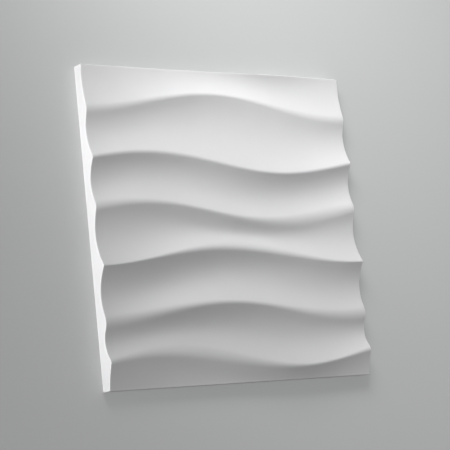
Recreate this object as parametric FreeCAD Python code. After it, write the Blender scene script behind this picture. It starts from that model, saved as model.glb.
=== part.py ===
"""Wall panel tile cast in white gypsum, with a relief of six wavy crests and scooped flutes between them.

The tile lies on its back: X runs along the waves, Y runs up the wall and Z comes out of the face. The origin
is the middle of the back. Lengths are in millimetres and phases in degrees. Each crest makes one wave over
the panel's width and the six crests share its height, so the relief carries on into the same tile beside,
above and below it.
"""
import FreeCAD, Part
import math
import os
from collections import namedtuple

PANEL_WIDTH = 500.0
PANEL_HEIGHT = 500.0
# Gypsum left behind the deepest line of every flute
FLOOR_THICKNESS = 18.5
# Mean distance of the first crest below the panel's top edge
TOP_MARGIN = 55.5
# Sections across the panel that the relief is drawn through
SECTIONS = 17
# Bands that a flute and a crest are laid in, side by side, each so narrow that it is nearly flat across
FLUTE_BANDS = 8
CREST_BANDS = 4

# The six crests from the top edge down: the mean distance from each one to the next, and from the last one to
# the first of the tile below
CREST_PITCHES = [96.0, 78.5, 69.5, 87.5, 75.0, 93.5]
# How far each crest line swings up and down
CREST_SWAYS = [16.0, 15.0, 16.0, 14.0, 13.0, 17.0]
# Height above the flute floor of the arris where two flutes would meet, and how far it changes along the crest
CREST_RISES = [10.0, 16.0, 14.5, 19.0, 17.0, 17.5]
CREST_SWELLS = [1.5, 2.0, 3.5, 2.0, 5.0, 4.0]
# Half-width over which that arris is rounded, and how far it changes along the crest, from crisp to soft
CREST_EASES = [5.5, 3.5, 8.0, 5.0, 8.0, 7.0]
CREST_FADES = [2.5, 0.5, 4.0, 3.5, 3.5, 4.5]
# Where along the wave the line, the rise and the ease of each crest are at their most
SWAY_PHASES = [-13.0, -108.0, -122.0, -11.0, -25.0, -105.0]
SWELL_PHASES = [-5.0, -5.0, -45.0, -20.0, -25.0, 20.0]
FADE_PHASES = [175.0, -120.0, 114.0, 14.0, 188.0, -55.0]

Ridge = namedtuple("Ridge", "y rise ease")
Break = namedtuple("Break", "y z slope")


def wave(mean, swing, phase, x):
    """A value that goes once up and down over the panel's width and is at its most at the phase."""
    return mean + swing * math.cos(2 * math.pi * x / PANEL_WIDTH - math.radians(phase))


def ridges(x):
    """The crests met down the section at x, with the last one of the tile above and the first one below."""
    stretch = PANEL_HEIGHT / sum(CREST_PITCHES)
    level = PANEL_HEIGHT / 2 - TOP_MARGIN * stretch
    met = []
    for number, pitch in enumerate(CREST_PITCHES):
        met.append(Ridge(wave(level, CREST_SWAYS[number], SWAY_PHASES[number], x),
                         wave(CREST_RISES[number], CREST_SWELLS[number], SWELL_PHASES[number], x),
                         wave(CREST_EASES[number], CREST_FADES[number], FADE_PHASES[number], x)))
        level -= pitch * stretch
    above = met[-1]._replace(y=met[-1].y + PANEL_HEIGHT)
    below = met[0]._replace(y=met[0].y - PANEL_HEIGHT)
    return [above] + met + [below]


def on_flute(upper, lower, y):
    """The break at y on the parabola that falls from the upper arris to the floor and climbs to the lower."""
    upper_root = math.sqrt(upper.rise)
    lower_root = math.sqrt(lower.rise)
    curve = ((upper_root + lower_root) / (upper.y - lower.y)) ** 2
    floor_y = upper.y - upper_root / math.sqrt(curve)
    return Break(y, FLOOR_THICKNESS + curve * (y - floor_y) ** 2, 2 * curve * (y - floor_y))


def section_breaks(x):
    """The points down the section at x where a flute gives way to a rounded crest or to the panel's edge."""
    met = ridges(x)
    breaks = [on_flute(met[0], met[1], PANEL_HEIGHT / 2)]
    for above, ridge, below in zip(met, met[1:], met[2:]):
        breaks.append(on_flute(above, ridge, ridge.y + ridge.ease))
        breaks.append(on_flute(ridge, below, ridge.y - ridge.ease))
    breaks.append(on_flute(met[-2], met[-1], -PANEL_HEIGHT / 2))
    return breaks


def span_poles(x, start, end):
    """The poles of the cubic that leaves one break and meets the next along their slopes."""
    third = (end.y - start.y) / 3
    return [FreeCAD.Vector(x, start.y, start.z),
            FreeCAD.Vector(x, start.y + third, start.z + start.slope * third),
            FreeCAD.Vector(x, end.y - third, end.z - end.slope * third),
            FreeCAD.Vector(x, end.y, end.z)]


def strip_surface(sections):
    """A smooth surface along the panel through the same span of every section."""
    parameters = [number / (len(sections) - 1) for number in range(len(sections))]
    rows = []
    for row in zip(*sections):
        curve = Part.BSplineCurve()
        curve.interpolate(Points=list(row), Parameters=parameters)
        rows.append(curve)
    surface = Part.BSplineSurface()
    surface.buildFromPolesMultsKnots(
        [list(poles) for poles in zip(*(curve.getPoles() for curve in rows))],
        rows[0].getMultiplicities(), [4, 4], rows[0].getKnots(), [0.0, 1.0], False, False, rows[0].Degree, 3)
    return surface


def cut_bands(surface, count):
    """The surface of a flute or a crest cut along its length into bands of even width."""
    bands = []
    for number in range(count):
        band = surface.copy()
        band.segment(0.0, 1.0, number / count, (number + 1) / count)
        bands.append(band)
    return bands


def flat_face(edges, corners):
    """A flat face bounded by a chain of edges and by straight edges through the corners that close it."""
    lines = [Part.LineSegment(start, end).toShape() for start, end in zip(corners, corners[1:])]
    return Part.Face(Part.Wire(Part.__sortEdges__(edges + lines)))


def build_panel():
    """The cast tile: the relief's bands, four flat edges and the flat back, closed into one solid."""
    half_width = PANEL_WIDTH / 2
    half_height = PANEL_HEIGHT / 2
    stations = [-half_width + PANEL_WIDTH * number / (SECTIONS - 1) for number in range(SECTIONS)]
    breaks = [section_breaks(x) for x in stations]
    bands = []
    for number in range(len(breaks[0]) - 1):
        strip = strip_surface([span_poles(x, line[number], line[number + 1])
                               for x, line in zip(stations, breaks)])
        is_flute = number % 2 == 0
        bands += cut_bands(strip, FLUTE_BANDS if is_flute else CREST_BANDS)
    faces = [band.toShape() for band in bands]

    back_left_top = FreeCAD.Vector(-half_width, half_height, 0)
    back_right_top = FreeCAD.Vector(half_width, half_height, 0)
    back_right_bottom = FreeCAD.Vector(half_width, -half_height, 0)
    back_left_bottom = FreeCAD.Vector(-half_width, -half_height, 0)
    left_top = FreeCAD.Vector(-half_width, half_height, breaks[0][0].z)
    right_top = FreeCAD.Vector(half_width, half_height, breaks[-1][0].z)
    right_bottom = FreeCAD.Vector(half_width, -half_height, breaks[-1][-1].z)
    left_bottom = FreeCAD.Vector(-half_width, -half_height, breaks[0][-1].z)
    left_edges = [band.uIso(0.0).toShape() for band in bands]
    right_edges = [band.uIso(1.0).toShape() for band in bands]
    faces.append(flat_face(left_edges, [left_bottom, back_left_bottom, back_left_top, left_top]))
    faces.append(flat_face(right_edges, [right_bottom, back_right_bottom, back_right_top, right_top]))
    faces.append(flat_face([bands[0].vIso(0.0).toShape()],
                           [right_top, back_right_top, back_left_top, left_top]))
    faces.append(flat_face([bands[-1].vIso(1.0).toShape()],
                           [right_bottom, back_right_bottom, back_left_bottom, left_bottom]))
    faces.append(flat_face([], [back_left_top, back_right_top, back_right_bottom, back_left_bottom,
                                back_left_top]))

    shell = Part.makeShell(faces)
    shell.sewShape()
    return Part.makeSolid(shell)


os.makedirs("parts", exist_ok=True)
panel = build_panel()
panel.exportStep("parts/panel.step")
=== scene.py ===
"""A square wall tile of white gypsum with a face of wavy crests and scooped flutes, lying on its back."""
import math

import bmesh
import bpy
import numpy as np
from mathutils import Matrix, Vector


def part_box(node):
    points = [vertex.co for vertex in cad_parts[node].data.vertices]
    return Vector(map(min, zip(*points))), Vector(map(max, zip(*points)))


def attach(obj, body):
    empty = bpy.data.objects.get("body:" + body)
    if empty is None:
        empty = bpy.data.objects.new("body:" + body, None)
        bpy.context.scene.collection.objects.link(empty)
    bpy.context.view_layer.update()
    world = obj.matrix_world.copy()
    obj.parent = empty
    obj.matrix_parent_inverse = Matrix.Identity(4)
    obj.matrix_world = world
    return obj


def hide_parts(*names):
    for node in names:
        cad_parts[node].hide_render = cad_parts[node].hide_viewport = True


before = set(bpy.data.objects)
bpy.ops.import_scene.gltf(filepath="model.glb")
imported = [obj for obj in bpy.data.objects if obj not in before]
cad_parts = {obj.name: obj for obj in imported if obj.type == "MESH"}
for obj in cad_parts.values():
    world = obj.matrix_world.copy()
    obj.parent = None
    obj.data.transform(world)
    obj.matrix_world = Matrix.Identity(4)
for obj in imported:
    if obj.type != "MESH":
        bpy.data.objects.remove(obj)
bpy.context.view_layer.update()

# The panel
# One piece of white gypsum, poured into an open silicone mould that lies face down.
# The mould leaves the waves smooth and the arrises a little soft, and the back is struck off with a blade.
MM = 0.001
low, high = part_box("panel")
width, height = high.x - low.x, high.y - low.y
floor_thickness = 18.5 * MM
top_margin = 55.5 * MM
arris_radius = 0.7 * MM

# The six crests from the top edge down: the mean distance from each one to the next, and the swing of its line.
pitch = np.array([96.0, 78.5, 69.5, 87.5, 75.0, 93.5]) * MM
sway = np.array([16.0, 15.0, 16.0, 14.0, 13.0, 17.0]) * MM
# Height above the flute floor of the arris where two flutes would meet, and its change along the crest.
rise = np.array([10.0, 16.0, 14.5, 19.0, 17.0, 17.5]) * MM
swell = np.array([1.5, 2.0, 3.5, 2.0, 5.0, 4.0]) * MM
# Half-width over which that arris is rounded, and its change along the crest, from crisp to soft.
ease = np.array([5.5, 3.5, 8.0, 5.0, 8.0, 7.0]) * MM
fade = np.array([2.5, 0.5, 4.0, 3.5, 3.5, 4.5]) * MM
# Where along the wave, in degrees, the line, the rise and the ease of each crest are at their most.
sway_phase = np.array([-13, -108, -122, -11, -25, -105])
swell_phase = np.array([-5, -5, -45, -20, -25, 20])
fade_phase = np.array([175, -120, 114, 14, 188, -55])
level = height / 2 - top_margin - np.concatenate([[0], np.cumsum(pitch)[:-1]])


def waves(mean, swing, phase, x):
    """A row for each crest: its mean plus its swing times a cosine that turns once over the panel's width."""
    turn = 2 * np.pi * x[None, :] / width - np.radians(phase)[:, None]
    return mean[:, None] + swing[:, None] * np.cos(turn)


def face_grid(x, flute_rows, crest_rows, edge_in):
    """The face as a grid of y and z: columns are the given x, and rows run down the panel.

    A flute is the parabola that falls from one arris to the flute floor and climbs to the next one: its height
    is the floor plus curve times the square of the distance from its lowest line. A crest is the cubic that
    takes over the slope of the flute above it and hands on that of the flute below it. The rows at edge_in,
    inside the top and bottom edges, are straight and stay on the first and the last flute.
    """
    arris_y = waves(level, sway, sway_phase, x)
    arris_rise = waves(rise, swell, swell_phase, x)
    half = waves(ease, fade, fade_phase, x)
    arris_y = np.vstack([arris_y[-1:] + height, arris_y, arris_y[:1] - height])
    root = np.sqrt(np.vstack([arris_rise[-1:], arris_rise, arris_rise[:1]]))
    curve = ((root[:-1] + root[1:]) / (arris_y[:-1] - arris_y[1:])) ** 2
    lowest_y = arris_y[:-1] - root[:-1] / np.sqrt(curve)
    straight = np.ones_like(x)[None, :]
    inner = (height / 2 - edge_in[-1]) * straight
    starts = np.vstack([inner, arris_y[1:-1] - half])
    ends = np.vstack([arris_y[1:-1] + half, -inner])

    def on_flute(number, y):
        """Height of a flute's parabola at y."""
        return floor_thickness + curve[number] * (y - lowest_y[number]) ** 2

    def flute_slope(number, y):
        """Slope of a flute's parabola at y: twice its curve times the distance from its lowest line."""
        return 2 * curve[number] * (y - lowest_y[number])

    edge_y = (height / 2 - edge_in[:-1])[:, None] * straight
    ys, zs = [edge_y], [on_flute(0, edge_y)]
    for number in range(len(curve)):
        t = np.linspace(0, 1, flute_rows)[:, None]
        y = starts[number] + (ends[number] - starts[number]) * t
        ys.append(y)
        zs.append(on_flute(number, y))
        if number + 1 < len(curve):
            t = np.linspace(0, 1, crest_rows)[1:-1, None]
            y0, y1 = ends[number], starts[number + 1]
            span = y1 - y0
            ys.append(y0 + span * t)
            zs.append((2 * t**3 - 3 * t**2 + 1) * on_flute(number, y0)
                      + (3 * t**2 - 2 * t**3) * on_flute(number + 1, y1)
                      + (t**3 - 2 * t**2 + t) * span * flute_slope(number, y0)
                      + (t**3 - t**2) * span * flute_slope(number + 1, y1))
    ys.append(-edge_y[::-1])
    zs.append(on_flute(len(curve) - 1, -edge_y[::-1]))
    return np.vstack(ys), np.vstack(zs)


def rounded_corner(x, y):
    """Pulls the square corners in to quarter circles: in a corner, with a and b from 0 to 1 across the arris,
    a becomes a times the root of 1 minus half b squared, and b likewise."""
    a = np.clip((np.abs(x) - (width / 2 - arris_radius)) / arris_radius, 0, 1)
    b = np.clip((np.abs(y) - (height / 2 - arris_radius)) / arris_radius, 0, 1)
    x_in = arris_radius * a * (1 - np.sqrt(1 - b**2 / 2))
    y_in = arris_radius * b * (1 - np.sqrt(1 - a**2 / 2))
    return x - np.sign(x) * x_in, y - np.sign(y) * y_in


def grid_cells(columns, rows, first):
    """Corner numbers of the cells of a grid whose points are numbered along its rows from first."""
    corner = first + np.arange(rows - 1)[:, None] * columns + np.arange(columns - 1)[None, :]
    corner = corner.reshape(-1, 1)
    return np.hstack([corner, corner + columns, corner + columns + 1, corner + 1])


# Across an arris the rows stand at even angles of a quarter circle, and one more row lies just inside it.
arris_rows = 5
inside_arris = 0.8 * MM
quarter = np.radians(np.linspace(90, 0, arris_rows))
edge_in = np.append(arris_radius * (1 - np.sin(quarter)), arris_radius + inside_arris)
edge_in_arris = edge_in[:-1]
edge_drop = arris_radius * (1 - np.cos(quarter))
column_pitch = 2.1 * MM
flute_rows, crest_rows = 15, 9
inside_x = np.linspace(edge_in[-1] - width / 2, width / 2 - edge_in[-1], round(width / column_pitch))
x = np.concatenate([edge_in_arris - width / 2, inside_x, (width / 2 - edge_in_arris)[::-1]])
face_y, face_z = face_grid(x, flute_rows, crest_rows, edge_in)
face_x = np.broadcast_to(x, face_y.shape)
drop_x = np.concatenate([edge_drop, 0 * inside_x, edge_drop[::-1]])[None, :]
drop_y = np.zeros((len(face_y), 1))
drop_y[:arris_rows, 0] = edge_drop
drop_y[-arris_rows:, 0] = edge_drop[::-1]
# Where two arrises meet in a corner their drops join as on a ball: the squares of what is left add up.
left_over = (1 - drop_x / arris_radius) ** 2 + (1 - drop_y / arris_radius) ** 2 - 1
arris_drop = arris_radius * (1 - np.sqrt(np.clip(left_over, 0, 1)))
face_z = face_z - arris_drop
back_z = arris_drop
# Handling rubs the arrises chalky, from full on the arris itself to nothing at this distance from it.
rubbed_width = 3.0 * MM
to_edge = np.minimum(width / 2 - np.abs(face_x), height / 2 - np.abs(face_y))
rubbed = 1 - np.clip(to_edge / rubbed_width, 0, 1)
# Air rises through the plaster as it sets: none is left in the face, some beside the walls, most in the back.
face_air, wall_air, back_air = 0.0, 0.5, 1.0
# Rows down a wall, as shares of its height, closer together near its arrises where it is rubbed.
wall_rows = np.array([0.0, 0.04, 0.12, 0.3, 0.5, 0.7, 0.88, 0.96, 1.0])[:, None]


def wall(border):
    """The wall below one border of the face, straight down from the face's arris to the back's. It is rubbed by
    one minus its distance from the nearest of its four arrises over the rubbed width."""
    top, bottom = face_z[border], back_z[border]
    z = top + (bottom - top) * wall_rows
    to_corner = np.maximum(width / 2 - np.abs(face_x[border]), height / 2 - np.abs(face_y[border]))
    to_arris = np.minimum(np.minimum(top - z, z - bottom), to_corner)
    wall_rubbed = 1 - np.clip(to_arris / rubbed_width, 0, 1)
    return face_x[border] + 0 * z, face_y[border] + 0 * z, z, wall_rubbed, wall_air


sides = [(face_x, face_y, face_z, rubbed, face_air), (face_x, face_y, back_z, rubbed, back_air),
         wall(np.s_[0, :]), wall(np.s_[-1, :]), wall(np.s_[:, 0]), wall(np.s_[:, -1])]
points, cells, rubbed_values, air_values = [], [], [], []
first = 0
for side_x, side_y, side_z, side_rubbed, side_air in sides:
    side_x, side_y = rounded_corner(side_x, side_y)
    points.append(np.stack([side_x, side_y, side_z], -1).reshape(-1, 3))
    cells.append(grid_cells(side_z.shape[1], side_z.shape[0], first))
    rubbed_values.append(side_rubbed.ravel())
    air_values.append(np.full(side_z.size, side_air))
    first += side_z.size
panel_mesh = bpy.data.meshes.new("gypsum_panel")
panel_mesh.from_pydata(np.vstack(points).tolist(), [], np.vstack(cells).tolist())
for name, values in [("rubbed", rubbed_values), ("air", air_values)]:
    panel_mesh.attributes.new(name, "FLOAT", "POINT").data.foreach_set("value", np.concatenate(values))
# The six grids share their borders, so the doubled points there are welded.
weld_distance = 0.01 * MM
shell = bmesh.new()
shell.from_mesh(panel_mesh)
bmesh.ops.remove_doubles(shell, verts=shell.verts, dist=weld_distance)
bmesh.ops.recalc_face_normals(shell, faces=shell.faces)
shell.to_mesh(panel_mesh)
shell.free()
panel_mesh.shade_smooth()
panel = bpy.data.objects.new("gypsum_panel", panel_mesh)
bpy.context.scene.collection.objects.link(panel)


def linear(hex_colour):
    """An sRGB hex colour as linear red, green, blue and alpha."""
    parts = np.array([int(hex_colour[i:i + 2], 16) for i in (1, 3, 5)]) / 255
    parts = np.where(parts <= 0.04045, parts / 12.92, ((parts + 0.055) / 1.055) ** 2.4)
    return (*parts.tolist(), 1.0)


def node(tree, kind, inputs=None, **settings):
    """Adds a node with its settings and returns its outputs. An input given as a socket is linked, and one
    given as a value is set."""
    made = tree.nodes.new(kind)
    for name, value in settings.items():
        setattr(made, name, value)
    for name, value in (inputs or {}).items():
        if isinstance(value, bpy.types.NodeSocket):
            tree.links.new(value, made.inputs[name])
        else:
            made.inputs[name].default_value = value
    return made.outputs


# Cast gypsum: a matte white body of fine crystals, faintly clouded where it dried unevenly. Air holes show where
# it set against the mould's walls and in the open, the blade leaves streaks on the back, and arrises are chalky.
# The grey inside an air hole is painted shade, for the shade that falls into the hole.
gypsum_white, cloud_white, chalk_white = linear("#ebebec"), linear("#e6e6e7"), linear("#f4f4f4")
# The grey of an air hole is painted shade, the dark that falls inside the hole laid into the colour.
streak_grey, hole_shade_grey = linear("#d6d6d5"), linear("#b3b3b2")
gypsum_ior = 1.52
gypsum = bpy.data.materials.new("cast_gypsum")
gypsum.use_nodes = True
tree = gypsum.node_tree
# The sockets of a colour mix: its factor, its two colours and its result.
mix_factor, mix_from, mix_to, mix_colour = 0, 6, 7, 2
place = node(tree, "ShaderNodeTexCoord")["Object"]
rubbed_here = node(tree, "ShaderNodeAttribute", attribute_name="rubbed")["Fac"]
air_here = node(tree, "ShaderNodeAttribute", attribute_name="air")["Fac"]

cloud_size, cloud_detail = 70 * MM, 2.0
cloud = node(tree, "ShaderNodeTexNoise", {"Vector": place, "Scale": 1 / cloud_size, "Detail": cloud_detail})["Fac"]
body_colour = node(tree, "ShaderNodeMix", {mix_factor: cloud, mix_from: gypsum_white, mix_to: cloud_white},
                   data_type="RGBA")[mix_colour]

# The crystals are under 0.1 mm, so the grain is drawn at 1.6 mm to show at all.
grain_size, grain_detail = 1.6 * MM, 2.0
grain_low, grain_high = 0.3, 0.7
low_roughness, high_roughness = 0.56, 0.68
grain = node(tree, "ShaderNodeTexNoise", {"Vector": place, "Scale": 1 / grain_size, "Detail": grain_detail})["Fac"]
roughness = node(tree, "ShaderNodeMapRange", {"Value": grain, "From Min": grain_low, "From Max": grain_high,
                                              "To Min": low_roughness, "To Max": high_roughness})["Result"]

# Air holes are about half a millimetre wide, and are drawn at up to 2 mm so that they show. A hole's bottom is
# half as wide as its mouth.
hole_spacing, hole_radius, bottom_radius = 8 * MM, 1.0 * MM, 0.5 * MM
bubbles = node(tree, "ShaderNodeTexVoronoi", {"Vector": place, "Scale": 1 / hole_spacing})
cell_chance = node(tree, "ShaderNodeSeparateColor", {"Color": bubbles["Color"]})["Red"]
holds_air = node(tree, "ShaderNodeMath", {0: cell_chance, 1: air_here}, operation="LESS_THAN")["Value"]
hollow = node(tree, "ShaderNodeMapRange", {"Value": bubbles["Distance"],
                                           "From Min": hole_radius / hole_spacing,
                                           "From Max": bottom_radius / hole_spacing})["Result"]
hole_and_shade = node(tree, "ShaderNodeMath", {0: holds_air, 1: hollow}, operation="MULTIPLY")["Value"]

# The blade was drawn along X, and its streaks are long that way and narrow across it.
streak_length, streak_width, streak_detail = 220 * MM, 3.5 * MM, 3.0
streak_strength = 0.6
along_blade = node(tree, "ShaderNodeMapping", {"Vector": place,
                                               "Scale": (1 / streak_length, 1 / streak_width, 1)})["Vector"]
streak = node(tree, "ShaderNodeTexNoise", {"Vector": along_blade, "Scale": 1.0, "Detail": streak_detail})["Fac"]
on_back = node(tree, "ShaderNodeMapRange", {"Value": air_here, "From Min": wall_air,
                                            "From Max": back_air})["Result"]
blade_mark = node(tree, "ShaderNodeMath", {0: streak, 1: on_back}, operation="MULTIPLY")["Value"]

streak_shade = node(tree, "ShaderNodeMath", {0: blade_mark, 1: streak_strength}, operation="MULTIPLY")["Value"]
streaked = node(tree, "ShaderNodeMix", {mix_factor: streak_shade, mix_from: body_colour, mix_to: streak_grey},
                data_type="RGBA")[mix_colour]
chalk = node(tree, "ShaderNodeMath", {0: rubbed_here, 1: grain}, operation="MULTIPLY")["Value"]
chalked = node(tree, "ShaderNodeMix", {mix_factor: chalk, mix_from: streaked, mix_to: chalk_white},
               data_type="RGBA")[mix_colour]
# Inside an air hole the white goes over to painted shade grey, standing in for the shade in the hole.
colour = node(tree, "ShaderNodeMix", {mix_factor: hole_and_shade, mix_from: chalked, mix_to: hole_shade_grey},
              data_type="RGBA")[mix_colour]

# Heights in millimetres: grain and blade streaks stand up, air holes go in.
grain_height, streak_height, hole_depth = 0.015, 0.12, 0.6
grain_lift = node(tree, "ShaderNodeMath", {0: grain, 1: grain_height}, operation="MULTIPLY")["Value"]
streak_lift = node(tree, "ShaderNodeMath", {0: blade_mark, 1: streak_height, 2: grain_lift},
                   operation="MULTIPLY_ADD")["Value"]
skin_lift = node(tree, "ShaderNodeMath", {0: hole_and_shade, 1: -hole_depth, 2: streak_lift},
                 operation="MULTIPLY_ADD")["Value"]
normal = node(tree, "ShaderNodeBump", {"Height": skin_lift, "Strength": 1.0, "Distance": MM})["Normal"]

shader = tree.nodes["Principled BSDF"]
shader.inputs["IOR"].default_value = gypsum_ior
tree.links.new(colour, shader.inputs["Base Color"])
tree.links.new(roughness, shader.inputs["Roughness"])
tree.links.new(normal, shader.inputs["Normal"])
panel_mesh.materials.append(gypsum)
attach(panel, "root")
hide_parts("panel")

# The floor
# A plain pale sheet that the panel lies on, rolled with matte paint.
# It is wide enough to fill the picture from every side.
floor_half = 6.0
floor_mesh = bpy.data.meshes.new("floor")
floor_mesh.from_pydata([(-floor_half, -floor_half, 0), (floor_half, -floor_half, 0),
                        (floor_half, floor_half, 0), (-floor_half, floor_half, 0)], [], [(0, 1, 2, 3)])
floor = bpy.data.objects.new("floor", floor_mesh)
bpy.context.scene.collection.objects.link(floor)
# Matte paint: an even pale grey without shine. Where it is looked at, a share of a flat tone is mixed in, which
# keeps the floor pale away from the lamps and puts next to no more light on the panel.
paint_grey, flat_grey, flat_share = linear("#c6c7c7"), linear("#cecfcf"), 0.3
paint_roughness = 0.8
floor_paint = bpy.data.materials.new("matte_floor_paint")
floor_paint.use_nodes = True
floor_tree = floor_paint.node_tree
floor_shader = floor_tree.nodes["Principled BSDF"]
floor_shader.inputs["Base Color"].default_value = paint_grey
floor_shader.inputs["Roughness"].default_value = paint_roughness
ray = node(floor_tree, "ShaderNodeLightPath")
seen_or_mirrored = node(floor_tree, "ShaderNodeMath", {0: ray["Is Camera Ray"], 1: ray["Is Glossy Ray"]},
                        operation="ADD")["Value"]
looked_at = node(floor_tree, "ShaderNodeMath", {0: seen_or_mirrored, 1: ray["Is Transmission Ray"]},
                 operation="ADD", use_clamp=True)["Value"]
share = node(floor_tree, "ShaderNodeMath", {0: looked_at, 1: flat_share}, operation="MULTIPLY")["Value"]
flat_tone = node(floor_tree, "ShaderNodeEmission", {"Color": flat_grey, "Strength": 1.0})["Emission"]
painted = node(floor_tree, "ShaderNodeMixShader", {0: share, 1: floor_shader.outputs["BSDF"],
                                                   2: flat_tone})["Shader"]
floor_tree.links.new(painted, floor_tree.nodes["Material Output"].inputs["Surface"])
floor_mesh.materials.append(floor_paint)

# The light
# A large soft lamp beyond the panel's top edge rakes down across the waves, a low strip on the left lights the
# panel's side, and an even sky fills the shadows.


def soft_lamp(name, place, aim, across, tall, spread, watts):
    """A softbox with a grid that keeps its light within a spread in degrees, turned to its aim and not itself
    in the picture. Lengths are in metres."""
    data = bpy.data.lights.new(name, "AREA")
    data.shape = "RECTANGLE"
    data.size = across
    data.size_y = tall
    data.spread = math.radians(spread)
    data.energy = watts
    lamp = bpy.data.objects.new(name, data)
    lamp.location = place
    lamp.rotation_euler = (Vector(aim) - Vector(place)).to_track_quat("-Z", "Y").to_euler()
    lamp.visible_camera = False
    bpy.context.scene.collection.objects.link(lamp)


soft_lamp("key", place=(-0.39, 1.05, 0.78), aim=(0.33, 0.42, 0.02),
          across=0.76, tall=0.76, spread=78, watts=4.85)
soft_lamp("side", place=(-2.60, -0.03, 0.06), aim=(-0.25, -0.03, 0.06),
          across=0.7, tall=0.10, spread=12, watts=0.46)
sky_white, sky_strength = linear("#ffffff"), 0.28
sky = bpy.data.worlds.new("sky")
sky.use_nodes = True
sky.node_tree.nodes["Background"].inputs["Color"].default_value = sky_white
sky.node_tree.nodes["Background"].inputs["Strength"].default_value = sky_strength
bpy.context.scene.world = sky

# The camera
# It looks down on the lying panel from the left and a little below its middle, as one would face it on a wall
# that leans back by ten degrees.
image_pixels = 450
focal_pixels = 1694
sensor_mm = 36
lean = math.radians(10)
eye = Vector((-1.5505, -0.3819, 2.1827))
aim = Vector((0.0023, 0.0037, 0.0008))
camera_data = bpy.data.cameras.new("camera")
camera_data.sensor_width = sensor_mm
camera_data.lens = sensor_mm * focal_pixels / image_pixels
camera = bpy.data.objects.new("camera", camera_data)
back_axis = (eye - aim).normalized()
right_axis = Vector((0, math.cos(lean), math.sin(lean))).cross(back_axis).normalized()
up_axis = back_axis.cross(right_axis)
camera.matrix_world = Matrix((right_axis, up_axis, back_axis)).transposed().to_4x4()
camera.location = eye
bpy.context.scene.collection.objects.link(camera)
bpy.context.scene.camera = camera
bpy.context.scene.view_settings.view_transform = "Standard"
